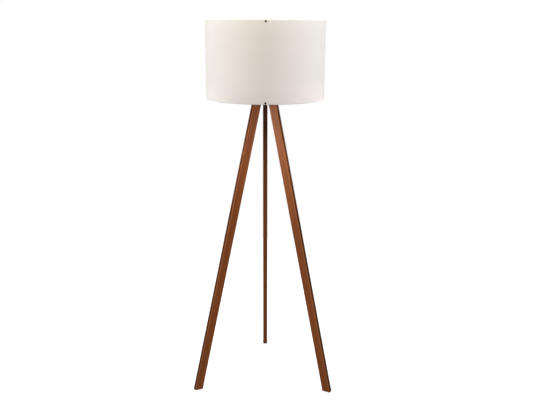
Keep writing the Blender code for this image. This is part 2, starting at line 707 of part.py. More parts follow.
def bulb_housing_mesh():
    """The bulb's tapered housing, a cup turned upside down over its electronics."""
    neck = BULB_CAP_RADIUS
    start = BULB_CAP_TOP + GAP
    top = bulb_outline(1, 0.0)[0][1] - GAP
    outer = [(neck, start)]
    for step in range(1, BULB_HOUSING_STEPS + 1):
        share = step / BULB_HOUSING_STEPS
        swell = neck + (BULB_HOUSING_RADIUS - neck) * math.sin(math.pi / 2 * share)
        outer.append((swell, start + (top - start) * share))
    wall = BULB_HOUSING_WALL
    inner = [(radius - wall, height) for radius, height in reversed(outer[:-1])]
    shelf = [(BULB_HOUSING_RADIUS - wall, top), (BULB_HOUSING_RADIUS - wall, BULB_HOUSING_TOP)]
    ceiling = [(0, BULB_HOUSING_TOP), (0, BULB_HOUSING_TOP - wall)]
    return lathe([*outer, *shelf, *ceiling, *inner[1:]], ROUND_FACETS)


def shade_cover_mesh():
    """The fabric, turned in over the hoop at each rim, notched for the spokes and holed for the rivets."""
    low = SHADE_BOTTOM
    high = LAMP_HEIGHT
    wall = SHADE_RADIUS - FABRIC
    profile = [
        (SHADE_RADIUS, low),
        (SHADE_RADIUS, high),
        (HEM_INNER, high),
        (HEM_INNER, high - HEM_DEPTH),
        (HEM_OUTER, high - HEM_DEPTH),
        (HEM_OUTER, high - FABRIC),
        (wall, high - FABRIC),
        (wall, low + FABRIC),
        (HEM_OUTER, low + FABRIC),
        (HEM_OUTER, low + HEM_DEPTH),
        (HEM_INNER, low + HEM_DEPTH),
        (HEM_INNER, low),
    ]
    tools = rivet_holes()
    for azimuth in SPOKE_AZIMUTHS:
        notch = prism(box_outline(4 * FABRIC, NOTCH_WIDTH), low + NOTCH_SILL, low + NOTCH_TOP)
        moved(notch, x=(HEM_INNER + HEM_OUTER) / 2)
        tools.append(spun(notch, azimuth))
    return combined(lathe(profile, SHADE_FACETS), tools, "DIFFERENCE")


def rivet_heights():
    """Each seam rivet's height, by the rim it is near."""
    return {"bottom": SHADE_BOTTOM + RIVET_FROM_RIM, "top": LAMP_HEIGHT - RIVET_FROM_RIM}


def rivet_holes():
    """Rods that cut the rivets' holes through the front of the shade."""
    holes = []
    for height in rivet_heights().values():
        hole = sideways(rod(RIVET_SHANK_RADIUS + GAP, -SHADE_REACH, -RIVET_END))
        holes.append(spun(moved(hole, z=height), math.degrees(SEAM_TURN)))
    return holes


def spoke_mesh():
    """One bent wire from the lower hoop up to the fitter, in the XZ plane."""
    fitter_middle = FITTER_BOTTOM + FITTER_THICKNESS / 2
    path = [
        (HOOP_RADIUS, BOTTOM_HOOP_HEIGHT),
        (SPOKE_BEND_RADIUS, BOTTOM_HOOP_HEIGHT + SPOKE_BEND_RISE),
        (SPOKE_INNER_BEND, fitter_middle),
        (FITTER_RADIUS - SPOKE_IN_FITTER, fitter_middle),
    ]
    bm = bmesh.new()
    rings = []
    for index, (x, z) in enumerate(path):
        before = path[max(index - 1, 0)]
        after = path[min(index + 1, len(path) - 1)]
        lean = math.atan2(after[1] - before[1], after[0] - before[0]) + math.pi / 2
        ring = []
        for across, along in circle(SPOKE_WIRE, WIRE_FACETS):
            spot = (x + along * math.cos(lean), across, z + along * math.sin(lean))
            ring.append(bm.verts.new(spot))
        rings.append(ring)
    for first, second in zip(rings, rings[1:]):
        for index in range(WIRE_FACETS):
            following = (index + 1) % WIRE_FACETS
            bm.faces.new((first[index], first[following], second[following], second[index]))
    bm.faces.new(rings[0])
    bm.faces.new(rings[-1])
    return finished(bm)


def hoop_mesh(height):
    """A ring of wire inside a hem."""
    ring = [(HOOP_RADIUS + x, height + z) for x, z in circle(HOOP_WIRE, WIRE_FACETS)]
    return lathe(ring, SHADE_FACETS)


def shade_frame_mesh():
    """The lower hoop, its three spokes and the fitter, welded into one."""
    fitter_top = FITTER_BOTTOM + FITTER_THICKNESS
    fitter = tube(FITTER_BORE, FITTER_RADIUS, FITTER_BOTTOM, fitter_top, ROUND_FACETS)
    spokes = [spun(spoke_mesh(), azimuth) for azimuth in SPOKE_AZIMUTHS]
    return combined(hoop_mesh(BOTTOM_HOOP_HEIGHT), [*spokes, fitter], "UNION")


def rivet_mesh():
    """A seam rivet's head and shank, along Y with its head at -Y."""
    seat = SHADE_RADIUS + GAP
    profile = [
        (0, -seat - RIVET_HEAD_HEIGHT),
        (RIVET_CROWN_RADIUS, -seat - RIVET_CROWN_HEIGHT),
        (RIVET_HEAD_RADIUS, -seat - RIVET_EDGE_HEIGHT),
        (RIVET_HEAD_RADIUS, -seat),
        (RIVET_SHANK_RADIUS, -seat),
        (RIVET_SHANK_RADIUS, -RIVET_END),
        (0, -RIVET_END),
    ]
    return sideways(lathe(profile, SMALL_FACETS, closed=False))


def rivet_cap_mesh():
    """The washer-like cap that holds a seam rivet inside the hem."""
    cap = tube(RIVET_SHANK_RADIUS + GAP, RIVET_HEAD_RADIUS, -RIVET_CAP_SEAT, -RIVET_END, SMALL_FACETS)
    return sideways(cap)


def build_shade(hub, finishes):
    """The drum shade: fabric, liner, hoops, frame and seam rivets."""
    liner_outer = SHADE_RADIUS - FABRIC - GAP
    liner_low = SHADE_BOTTOM + FABRIC + GAP
    liner_high = LAMP_HEIGHT - FABRIC - GAP
    liner = tube(liner_outer - LINER, liner_outer, liner_low, liner_high, SHADE_FACETS)
    place("shade_cover", shade_cover_mesh(), finishes["cream_fabric"], hub)
    place("shade_liner", combined(liner, rivet_holes(), "DIFFERENCE"), finishes["white_liner"], hub)
    place("shade_top_hoop", hoop_mesh(TOP_HOOP_HEIGHT), finishes["white_wire"], hub)
    place("shade_frame", shade_frame_mesh(), finishes["white_wire"], hub)
    rivet = rivet_mesh()
    cap = rivet_cap_mesh()
    seam = (0, 0, SEAM_TURN)
    for label, height in rivet_heights().items():
        place(f"seam_rivet_{label}", rivet, finishes["black_plastic"], hub, (0, 0, height), seam)
        place(f"seam_rivet_cap_{label}", cap, finishes["black_plastic"], hub, (0, 0, height), seam)


def main():
    clear_scene()
    finishes = make_finishes()
    hub = empty("lamp_axis", location=(0, AXIS_Y, 0))
    place("hub_plate", hub_plate_mesh(), finishes["black_steel"], hub)
    build_leg_sets(hub, finishes)
    build_nipple(hub, finishes)
    build_lampholder(hub, finishes)
    build_bulb(hub, finishes)
    build_shade(hub, finishes)


main()
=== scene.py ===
"""The tripod floor lamp's looks: fabric, wood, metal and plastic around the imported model."""

import json
import math

import bmesh
import bpy
from mathutils import Matrix, Vector


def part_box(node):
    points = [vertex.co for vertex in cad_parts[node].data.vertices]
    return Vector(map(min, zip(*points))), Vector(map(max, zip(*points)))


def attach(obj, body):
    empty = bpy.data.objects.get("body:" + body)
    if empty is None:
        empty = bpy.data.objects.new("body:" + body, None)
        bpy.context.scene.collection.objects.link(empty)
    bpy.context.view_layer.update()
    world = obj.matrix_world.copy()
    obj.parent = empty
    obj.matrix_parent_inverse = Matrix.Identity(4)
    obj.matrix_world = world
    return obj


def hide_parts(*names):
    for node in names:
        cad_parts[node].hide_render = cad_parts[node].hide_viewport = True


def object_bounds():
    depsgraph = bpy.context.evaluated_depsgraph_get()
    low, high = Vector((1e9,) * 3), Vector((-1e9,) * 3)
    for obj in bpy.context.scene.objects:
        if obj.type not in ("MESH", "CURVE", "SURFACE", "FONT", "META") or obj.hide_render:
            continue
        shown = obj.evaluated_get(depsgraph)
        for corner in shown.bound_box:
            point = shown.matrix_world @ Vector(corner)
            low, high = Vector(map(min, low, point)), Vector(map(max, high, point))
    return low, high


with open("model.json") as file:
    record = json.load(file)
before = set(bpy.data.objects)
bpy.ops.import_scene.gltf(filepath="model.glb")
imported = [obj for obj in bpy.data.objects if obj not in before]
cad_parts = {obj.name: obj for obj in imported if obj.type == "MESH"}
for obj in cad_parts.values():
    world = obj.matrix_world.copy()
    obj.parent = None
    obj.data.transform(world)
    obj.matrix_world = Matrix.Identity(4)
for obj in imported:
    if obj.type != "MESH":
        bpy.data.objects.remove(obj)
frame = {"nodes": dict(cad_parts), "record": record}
CAD_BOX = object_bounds()

NODES = frame["nodes"]
JOINTS = {joint["name"]: joint for joint in frame["record"]["behaviour"]["joints"]}
MOUNTS = {mount["name"]: mount for mount in frame["record"]["mounts"]}
LEGS = ("back", "front_left", "front_right")
AXIS = Vector(JOINTS["shade_turn"]["pos_m"][:2])
SHARP_ANGLE = math.radians(40.0)

# Camera: about a 50 mm lens on a 36 mm sensor, level with the lamp's top and tilted down at it.
# Metres, and degrees for the pitch, the roll and the lamp's turn; side is the camera's step to the right
SENSOR = 36.0
LENS = 49.563
CAMERA_DISTANCE = 2.9313
CAMERA_HEIGHT = 1.5106
CAMERA_PITCH = 14.049
CAMERA_ROLL = 0.378
CAMERA_SIDE = 0.00835
LAMP_TURN = -1.206

# Studio: a white world and floor. Each light's kind, angle, distance, height, aim, size, power and colour,
# and the spread of its beam in degrees
WORLD_LIGHT = (0.40, 0.40, 0.41)
FLOOR_RADIUS = 2.0
FLOOR_STEPS = 128
LIGHTS = (
    ("overhead", "SUN", 0.0, 0.01, 4.0, 0.0, (1.2, 0.0), 2.6, (1.0, 1.0, 1.0), 180.0),
    ("side_left", "AREA", -80.0, 1.4, 1.55, 1.35, (0.5, 0.7), 9.2, (0.91, 0.99, 1.0), 180.0),
    ("side_right", "AREA", 80.0, 1.4, 1.55, 1.35, (0.5, 0.7), 10.4, (0.90, 0.95, 1.0), 180.0),
    ("upper_left", "AREA", -60.0, 1.2, 1.10, 0.98, (0.10, 0.10), 0.29, (1.0, 0.92, 1.0), 26.0),
    ("upper_right", "AREA", 60.0, 1.2, 1.10, 0.99, (0.12, 0.12), 0.19, (1.0, 0.80, 0.90), 30.0),
    ("low_left", "AREA", -55.0, 1.6, 0.60, 0.50, (0.4, 0.6), 0.75, (0.96, 0.94, 1.0), 60.0),
    ("front", "AREA", -8.0, 1.6, 2.75, 1.2, (0.9, 0.7), 21.5, (1.0, 0.88, 0.77), 180.0),
)

# Wood. Tones in linear colour: three of the stain, three that tint it, and the edges' painted highlight
WOOD_TONES = (0.144, 0.035, 0.006), (0.196, 0.051, 0.011), (0.245, 0.069, 0.016)
WOOD_TINTS = (0.86, 0.80, 0.76), (1.0, 1.0, 1.0), (1.12, 1.16, 1.20)
EDGE_HIGHLIGHT_TONE = (0.36, 0.145, 0.062)
WOOD_GLINT = (1.0, 0.60, 0.38, 1.0)
# The gloss of the wood and of the outer narrow face, and the share of the stain's brightness that face
# keeps: a painted shade, as the front light falls off to the side
WOOD_GLOSS, OUTER_GLOSS = 0.30, 0.03
OUTER_PAINTED_SHADE = 0.36
# Painted shade under the lampshade: the share of its brightness that the inner narrow face loses, at two
# distances below the leg's pivot, more towards the hub
INNER_PAINTED_SHADE = 0.10, 0.88
INNER_SHADE_DROP = 0.60, 0.16
# How far inside the leg's surface a face's tone starts and is full, and the two widths of the edges'
# painted highlight
FACE_BLEND = 0.0007, 0.0002
EDGE_HIGHLIGHT_ACROSS = 0.0036, 0.0020
EDGE_HIGHLIGHT_ALONG = 0.0016, 0.0008
# How far the felt pad stays inside the leg's outline
FELT_INSET = 0.001

# The gap between pieces that touch
GAP = 0.0003


def bearing(point):
    """The angle of a point about the lamp's axis."""
    return math.atan2(point[1] - AXIS.y, point[0] - AXIS.x)


# Shade: its drum, hoops and seam, from the frame
COVER_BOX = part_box("shade_cover")
SHADE_RADIUS = (COVER_BOX[1].x - COVER_BOX[0].x) / 2
SHADE_LOW, SHADE_HIGH = COVER_BOX[0].z, COVER_BOX[1].z
HOOP_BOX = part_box("shade_top_hoop")
WIRE = (HOOP_BOX[1].z - HOOP_BOX[0].z) / 2 / math.cos(math.pi / 6)
HOOP_RADIUS = (HOOP_BOX[1].x - HOOP_BOX[0].x) / 2 - WIRE
TOP_HOOP = (HOOP_BOX[1].z + HOOP_BOX[0].z) / 2
BOTTOM_HOOP = SHADE_LOW + (SHADE_HIGH - TOP_HOOP)
RIVET_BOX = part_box("seam_rivet_top")
SEAM = bearing((RIVET_BOX[0] + RIVET_BOX[1]) / 2)
SPOKES = [bearing(MOUNTS[f"foot_{leg}"]["pos_m"]) for leg in LEGS]
# Cloth: its thickness, the lap over the seam and how its under layer dips, the hems, the spokes' notches
CLOTH = 0.00045
LAP = 0.020
LAP_END = 0.011
UNDERLAP_DEPTH = 0.00055
UNDERLAP_RAMP = 0.025
HEM = 0.011
NOTCH_HALF_WIDTH = 0.0035
NOTCH_SILL = 0.0007
NOTCH_EDGE = 0.00005
SHADE_STEPS = 256
ROLL_STEPS = 7
WALL_STEPS = 6
RIPPLES = 0.00010, 0.00006
# Liner: its sheet, its own lap and how deep that sets its inner layer
LINER_SHEET = 0.0004
LINER_LAP = 0.012
LINER_DIP = LINER_SHEET * 1.1
LINER_STEPS = 192
LINER_LAP_STEPS = 6
# Frame: hoops, fitter (its thickness as a share of the room under the ring) and spokes, whose outer bend
# is a radius and a rise above the lower hoop
HOOP_FACETS = 160
HOOP_ARC = 330
HOOP_ARC_STEPS = 11
FITTER_BORE, FITTER_RIM, FITTER_LIP = 0.0201, 0.0300, 0.0004
FITTER_SHARE = 0.86
FITTER_STEPS = 96
SPOKE_WIRE = 0.00165
SPOKE_SIDES = 14
SPOKE_OUTER_BEND = 0.222, 0.004
SPOKE_INNER_BEND = 0.040
SPOKE_WELD = 0.0285
BEND_REACH = 0.012
# Rivets: shank and cap, and the head's crown with its pin's groove, in shares of its radius and height
SHANK_RADIUS = 0.0019
RIVET_LIFT = 0.0001
RIVET_CAP_BORE = 0.0021
RIVET_CAP_ROUNDING = 0.4
RIVET_STEPS = 40
RIVET_CROWN = (0.30, 0.0), (0.36, 0.16), (0.44, 0.06), (0.72, 0.22), (0.92, 0.48), (1.0, 0.78)

# Lampholder: its skirt with an E27 holder's outer thread, the shade ring and the cap
THREAD_STEPS = 72
MOULDED_LIP = 0.0008
SKIRT_RADIUS = 0.0193
SKIRT_BORE = 0.0152
SKIRT_PITCH, SKIRT_THREAD_DEPTH = 0.0025, 0.0009
FLANGE_THICKNESS = 0.002
RING_BORE = 0.0197
RING_RIBS = 36
RIB_DEPTH = 0.0005
RIB_STEPS = 8
CAP_SEAT = 0.0095
CAP_HOLE = 0.0053
CAP_WALL = 0.0018
CAP_STEP = 0.002
CAP_DOME_SHARE = 0.75
CAP_GROOVE = 0.0022, 0.0016, 0.0010
CAP_GROOVE_DEPTH = 0.0004
CAP_FACETS = 64
CAP_DOME_STEPS = 14

# Bulb: globe, housing with fins between two heights, and an E27 screw cap whose thread stops short
GLOBE_WALL = 0.001
GLOBE_STEPS = 28
HOUSING_NECK = 0.0131
HOUSING_WALL = 0.0015
HOUSING_STEPS = 18
HOUSING_FACETS = 192
FINS = 24
FIN_DEPTH = 0.0003
FIN_START, FIN_STOP = 0.012, 0.004
SCREW_CAP_WALL = 0.0004
SCREW_CAP_STEPS = 60
SCREW_PITCH, SCREW_DEPTH = 0.00362, 0.0011
SCREW_RUN_IN, SCREW_RUN_OUT = 0.001, 0.004


# ---------------------------------------------------------------- camera and studio

def make_camera():
    """The camera, at the viewing angle of a product picture."""
    data = bpy.data.cameras.new("camera")
    data.sensor_width = SENSOR
    data.lens = LENS
    data.clip_end = 100.0
    camera = bpy.data.objects.new("camera", data)
    bpy.context.scene.collection.objects.link(camera)
    turn = math.radians(LAMP_TURN)
    side = Vector((math.cos(turn), -math.sin(turn)))
    back = Vector((-math.sin(turn), -math.cos(turn)))
    spot = AXIS + side * CAMERA_SIDE + back * CAMERA_DISTANCE
    camera.location = (spot.x, spot.y, CAMERA_HEIGHT)
    aim = Matrix.Rotation(-turn, 4, "Z") @ Matrix.Rotation(math.radians(90 - CAMERA_PITCH), 4, "X")
    camera.rotation_euler = (aim @ Matrix.Rotation(math.radians(CAMERA_ROLL), 4, "Z")).to_euler()
    bpy.context.scene.camera = camera


def soft_light(name, kind, angle, distance, height, aim, size, power, colour, spread):
    """A studio light at an angle round the lamp (degrees, 0 in front, positive to the right)."""
    data = bpy.data.lights.new(name, kind)
    if kind == "SUN":
        data.angle = size[0]
    else:
        data.shape = "RECTANGLE"
        data.size, data.size_y = size
        data.spread = math.radians(spread)
    data.energy = power
    data.color = colour
    turn = math.radians(angle)
    lamp = bpy.data.objects.new(name, data)
    lamp.location = (AXIS.x + distance * math.sin(turn), AXIS.y - distance * math.cos(turn), height)
    target = Vector((AXIS.x, AXIS.y, aim))
    lamp.rotation_euler = (target - lamp.location).to_track_quat("-Z", "Y").to_euler()
    lamp.visible_camera = False
    bpy.context.scene.collection.objects.link(lamp)


def make_studio():
    """A white world that lights the lamp more softly than it shows, the lights and the floor."""
    scene = bpy.context.scene
    scene.view_settings.view_transform = "Standard"
    world = bpy.data.worlds.new("studio")
    scene.world = world
    world.use_nodes = True
    nodes, links = world.node_tree.nodes, world.node_tree.links
    seen, lit = nodes["Background"], nodes.new("ShaderNodeBackground")
    seen.inputs["Color"].default_value = (1.0, 1.0, 1.0, 1.0)
    lit.inputs["Color"].default_value = (*WORLD_LIGHT, 1.0)
    rays, choice = nodes.new("ShaderNodeLightPath"), nodes.new("ShaderNodeMixShader")
    links.new(rays.outputs["Is Camera Ray"], choice.inputs[0])
    links.new(lit.outputs[0], choice.inputs[1])
    links.new(seen.outputs[0], choice.inputs[2])
    links.new(choice.outputs[0], nodes["World Output"].inputs["Surface"])
    for settings in LIGHTS:
        soft_light(*settings)
    make_floor()


def make_floor():
    """A white paper disc under the lamp, which throws no light back on it."""
    bm = bmesh.new()
    bmesh.ops.create_circle(bm, cap_ends=True, segments=FLOOR_STEPS, radius=FLOOR_RADIUS)
    mesh = bpy.data.meshes.new("floor")
    bm.to_mesh(mesh)
    bm.free()
    mesh.transform(Matrix.Translation((AXIS.x, AXIS.y, CAD_BOX[0].z - GAP)))
    paper = principled("paper", (0.93, 0.93, 0.93), 0.9)
    paper.node_tree.nodes["Principled BSDF"].inputs["Specular IOR Level"].default_value = 0.1
    floor = add("floor", mesh, paper)
    floor.visible_diffuse = False
    floor.visible_glossy = False


# ---------------------------------------------------------------- building helpers

def add(name, mesh, *materials):
    """Link a mesh as an object."""
    for item in materials:
        mesh.materials.append(item)
    thing = bpy.data.objects.new(name, mesh)
    bpy.context.scene.collection.objects.link(thing)
    return thing


def piece(name, mesh, material, body, *nodes, finish=None):
    """Link a visible piece that rides on a body and stands for CAD nodes."""
    thing = add(name, mesh, material)
    if nodes:
        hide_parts(*nodes)
    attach(thing, body)
    return thing


def closed_mesh(bm):
    """Turn a bmesh into a mesh, its faces out and smooth but for its sharp edges."""
    bmesh.ops.remove_doubles(bm, verts=bm.verts, dist=1e-6)
    bmesh.ops.recalc_face_normals(bm, faces=bm.faces)
    mesh = bpy.data.meshes.new("mesh")
    bm.to_mesh(mesh)
    bm.free()
    mesh.shade_smooth()
    mesh.set_sharp_from_angle(angle=SHARP_ANGLE)
    return mesh


def grid_mesh(rows, wrap_rows=False, wrap_columns=False, cap=False):
    """Skin rows of points; wrapping joins the last row or column to the first, cap closes the end rows."""
    bm = bmesh.new()
    made = [[bm.verts.new(point) for point in row] for row in rows]
    columns = len(made[0])
    for i in range(len(made) - (0 if wrap_rows else 1)):
        first, second = made[i], made[(i + 1) % len(made)]
        for j in range(columns - (0 if wrap_columns else 1)):
            k = (j + 1) % columns
            bm.faces.new((first[j], first[k], second[k], second[j]))
    if cap:
        bm.faces.new(made[0])
        bm.faces.new(made[-1])
    return closed_mesh(bm)


def turned(profile, facets, centre=(0.0, 0.0, 0.0), swell=None):
    """Turn a closed profile of (radius, height) points about a vertical axis.

    swell(angle, radius, height) adds to each point's radius, for threads and ribs.
    """
    rows = []
    for step in range(facets):
        angle = math.tau * step / facets
        row = []
        for radius, height in profile:
            reach = radius + (swell(angle, radius, height) if swell else 0.0)
            x, y = centre[0] + reach * math.cos(angle), centre[1] + reach * math.sin(angle)
            row.append((x, y, height + centre[2]))
        rows.append(row)
    return grid_mesh(rows, wrap_rows=True, wrap_columns=True)


def arc(centre, radii, start, end, steps):
    """(radius, height) points on an ellipse, between two angles in degrees."""
    points = []
    for step in range(steps + 1):
        angle = math.radians(start + (end - start) * step / steps)
        points.append((centre[0] + radii[0] * math.cos(angle), centre[1] + radii[1] * math.sin(angle)))
    return points


# ---------------------------------------------------------------- material helpers

def principled(name, colour, roughness, metallic=0.0):
    """A Principled material with uniform values on its own sockets."""
    material = bpy.data.materials.new(name)
    material.use_nodes = True
    shader = material.node_tree.nodes["Principled BSDF"]
    shader.inputs["Base Color"].default_value = (*colour, 1.0)
    shader.inputs["Roughness"].default_value = roughness
    shader.inputs["Metallic"].default_value = metallic
    return material


class Graph:
    """Short calls that add nodes to one material."""

    def __init__(self, material):
        self.tree = material.node_tree
        self.shader = self.tree.nodes["Principled BSDF"]

    def node(self, kind, **settings):
        made = self.tree.nodes.new(kind)
        for key, value in settings.items():
            setattr(made, key, value)
        return made

    def link(self, source, target):
        self.tree.links.new(source, target)

    def feed(self, value, socket):
        """Link a socket to an input, or set the input to a plain value."""
        if isinstance(value, bpy.types.NodeSocket):
            self.link(value, socket)
        else:
            socket.default_value = value

    def math(self, operation, a, b=0.0, clamp=False):
        made = self.node("ShaderNodeMath", operation=operation, use_clamp=clamp)
        self.feed(a, made.inputs[0])
        self.feed(b, made.inputs[1])
        return made.outputs[0]

    def place(self):
        """The point on the piece at rest, in metres."""
        return self.node("ShaderNodeTexCoord").outputs["Object"]

    def split(self, vector):
        """The x, y and z outputs of a vector."""
        made = self.node("ShaderNodeSeparateXYZ")
        self.link(vector, made.inputs[0])
        return made.outputs

    def join(self, x, y, z):
        made = self.node("ShaderNodeCombineXYZ")
        for value, socket in zip((x, y, z), made.inputs):
            self.feed(value, socket)
        return made.outputs[0]

    def scaled(self, vector, scale):
        made = self.node("ShaderNodeMapping")
        self.link(vector, made.inputs["Vector"])
        made.inputs["Scale"].default_value = scale
        return made.outputs[0]

    def noise(self, vector, scale, detail=2.0, roughness=0.5, distortion=0.0):
        made = self.node("ShaderNodeTexNoise")
        self.link(vector, made.inputs["Vector"])
        made.inputs["Scale"].default_value = scale
        made.inputs["Detail"].default_value = detail
        made.inputs["Roughness"].default_value = roughness
        made.inputs["Distortion"].default_value = distortion
        return made.outputs["Fac"]

    def ramp(self, value, *stops):
        """A colour ramp through (position, colour or grey) stops."""
        made = self.node("ShaderNodeValToRGB")
        self.link(value, made.inputs["Fac"])
        band = made.color_ramp.elements
        while len(band) < len(stops):
            band.new(0.5)
        for stop, (position, colour) in zip(band, stops):
            stop.position = position
            stop.color = (*colour, 1.0) if hasattr(colour, "__len__") else (colour, colour, colour, 1.0)
        return made.outputs["Color"]

    def mix(self, factor, a, b, blend="MIX"):
        made = self.node("ShaderNodeMix", data_type="RGBA", blend_type=blend)
        self.feed(factor, made.inputs[0])
        self.feed(a if isinstance(a, bpy.types.NodeSocket) else (*a, 1.0), made.inputs[6])
        self.feed(b if isinstance(b, bpy.types.NodeSocket) else (*b, 1.0), made.inputs[7])
        return made.outputs[2]

    def range(self, value, low, high, new_low, new_high):
        """Remap low..high to new_low..new_high, held at both ends."""
        made = self.node("ShaderNodeMapRange")
        self.link(value, made.inputs["Value"])
        ends = {"From Min": low, "From Max": high, "To Min": new_low, "To Max": new_high}
        for key, number in ends.items():
            made.inputs[key].default_value = number
        return made.outputs[0]

    def colour(self, value):
        self.link(value, self.shader.inputs["Base Color"])

    def roughness(self, value):
        self.link(value, self.shader.inputs["Roughness"])

    def bump(self, height, strength, distance):
        made = self.node("ShaderNodeBump")
        made.inputs["Strength"].default_value = strength
        made.inputs["Distance"].default_value = distance
        self.link(height, made.inputs["Height"])
        self.link(made.outputs[0], self.shader.inputs["Normal"])


# ---------------------------------------------------------------- materials

def walnut(name, leg):
    """Walnut-stained wood with its grain along one leg.

    The outer narrow face is darker and duller, a painted shade for the front light falling off to the side;
    the inner one has a painted shade that darkens towards the hub, where the lampshade shadows it; and the
    outer face's long edges carry a painted highlight, uneven like wear.
    """
    pivot = Vector(JOINTS[f"leg_{leg}_fold"]["pos_m"])
    foot = Vector(MOUNTS[f"foot_{leg}"]["pos_m"])
    along = (pivot - foot).normalized()
    across = Vector(JOINTS[f"leg_{leg}_fold"]["axis"]).normalized()
    outward = across.cross(along)
    turn = Matrix((outward, across, along)).transposed().to_euler()
    material = principled(name, (0.2, 0.06, 0.02), 0.55)
    graph = Graph(material)
    local = graph.node("ShaderNodeMapping", vector_type="TEXTURE")
    graph.link(graph.place(), local.inputs["Vector"])
    local.inputs["Location"].default_value = pivot
    local.inputs["Rotation"].default_value = turn
    point = local.outputs[0]
    streaks = graph.noise(graph.scaled(point, (300, 300, 5.0)), 1.0, 5.0, 0.62, 0.35)
    broad = graph.noise(graph.scaled(point, (48, 48, 1.6)), 1.0, 3.0, 0.55, 0.6)
    pores = graph.noise(graph.scaled(point, (1300, 1300, 30)), 1.0, 2.0, 0.6)
    base = graph.ramp(streaks, *zip((0.30, 0.50, 0.72), WOOD_TONES))
    tint = graph.ramp(broad, *zip((0.32, 0.50, 0.70), WOOD_TINTS))
    wood = graph.mix(1.0, base, tint, "MULTIPLY")
    pore_mask = graph.ramp(pores, (0.32, 0.62), (0.46, 1.0))
    wood = graph.mix(1.0, wood, pore_mask, "MULTIPLY")
    x, y, z = graph.split(point)
    half_depth, half_thickness = leg_section()
    far, near = FACE_BLEND
    # Painted shade: the outer narrow face, turned aside from the front light, keeps part of the stain's
    # brightness
    outer = graph.range(x, half_depth - far, half_depth - near, 1.0, OUTER_PAINTED_SHADE)
    on_inner = graph.range(x, -half_depth + near, -half_depth + far, 1.0, 0.0)
    # Painted shade on the inner narrow face, darkening towards the hub, where the lampshade shadows the
    # legs
    low_drop, high_drop = INNER_SHADE_DROP
    inner_shade = graph.range(z, -low_drop, -high_drop, *INNER_PAINTED_SHADE)
    unshaded = graph.math("SUBTRACT", 1.0, graph.math("MULTIPLY", on_inner, inner_shade))
    # Both narrow faces' painted shade, multiplied into the wood
    faces = graph.math("MULTIPLY", outer, unshaded)
    wood = graph.mix(1.0, wood, graph.join(faces, faces, faces), "MULTIPLY")
    # Painted highlight along the outer face's long edges, where the rounded arris catches the light; uneven
    # like wear
    far, near = EDGE_HIGHLIGHT_ACROSS
    across_edge = graph.range(x, half_depth - far, half_depth - near, 0.0, 1.0)
    far, near = EDGE_HIGHLIGHT_ALONG
    off_middle = graph.math("ABSOLUTE", y)
    side_edge = graph.range(off_middle, half_thickness - far, half_thickness - near, 0.0, 1.0)
    edge_highlight = graph.math("MULTIPLY", across_edge, side_edge)
    edge_highlight = graph.math("MULTIPLY", edge_highlight, graph.range(broad, 0.30, 0.65, 0.45, 0.85), clamp=True)
    graph.colour(graph.mix(edge_highlight, wood, EDGE_HIGHLIGHT_TONE))
    graph.roughness(graph.range(streaks, 0.3, 0.7, 0.50, 0.38))
    far, near = FACE_BLEND
    gloss = graph.range(x, half_depth - far, half_depth - near, WOOD_GLOSS, OUTER_GLOSS)
    graph.feed(gloss, graph.shader.inputs["Specular IOR Level"])
    graph.shader.inputs["Specular Tint"].default_value = WOOD_GLINT
    relief = graph.math("ADD", graph.math("MULTIPLY", pores, 0.6), graph.math("MULTIPLY", streaks, 0.4))
    graph.bump(relief, 0.30, 0.0003)
    return material


def leg_section():
    """Half the leg's depth and half its thickness, from the felt under it."""
    low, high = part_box("felt_pad_back")
    lean = Vector(JOINTS["leg_back_fold"]["pos_m"]) - Vector(MOUNTS["foot_back"]["pos_m"])
    tilt = math.atan2(Vector(lean[:2]).length, lean[2])
    return ((high.y - low.y) / 2 + FELT_INSET) * math.cos(tilt), (high.x - low.x) / 2 + FELT_INSET


def drum_point(graph):
    """(metres round the shade, height) of a point on the drum about the lamp's axis."""
    x, y, z = graph.split(graph.place())
    angle = graph.math("ARCTAN2", graph.math("SUBTRACT", y, AXIS.y), graph.math("SUBTRACT", x, AXIS.x))
    return graph.math("MULTIPLY", angle, SHADE_RADIUS), z


def woven(name, colour, shadow, threads_per_metre, roughness=0.95):
    """A fine plain weave on the drum, with slubs along both thread directions."""
    material = principled(name, colour, roughness)
    graph = Graph(material)
    around, height = drum_point(graph)
    rate = math.tau * threads_per_metre
    warp = graph.math("SINE", graph.math("MULTIPLY", around, rate))
    weft = graph.math("SINE", graph.math("MULTIPLY", height, rate))
    weave = graph.math("MULTIPLY", warp, weft)
    flat = graph.join(around, height, 0.0)
    slub_up = graph.noise(graph.scaled(flat, (1400, 22, 1)), 1.0, 3.0, 0.6)
    slub_round = graph.noise(graph.scaled(flat, (22, 1400, 1)), 1.0, 3.0, 0.6)
    cloud = graph.noise(graph.scaled(flat, (9, 9, 1)), 1.0, 3.0, 0.5)
    slubs = graph.math("MULTIPLY", graph.math("ADD", slub_up, slub_round), 0.5)
    tone = graph.math("ADD", graph.math("MULTIPLY", slubs, 0.75), graph.math("MULTIPLY", weave, 0.06))
    tone = graph.math("ADD", tone, graph.math("MULTIPLY", cloud, 0.18))
    graph.colour(graph.ramp(tone, (0.30, shadow), (0.58, colour)))
    graph.bump(graph.math("ADD", graph.math("MULTIPLY", weave, 0.5), slubs), 0.28, 0.00025)
    graph.shader.inputs["Specular IOR Level"].default_value = 0.12
    graph.shader.inputs["Sheen Weight"].default_value = 0.08
    graph.shader.inputs["Sheen Roughness"].default_value = 0.6
    return material


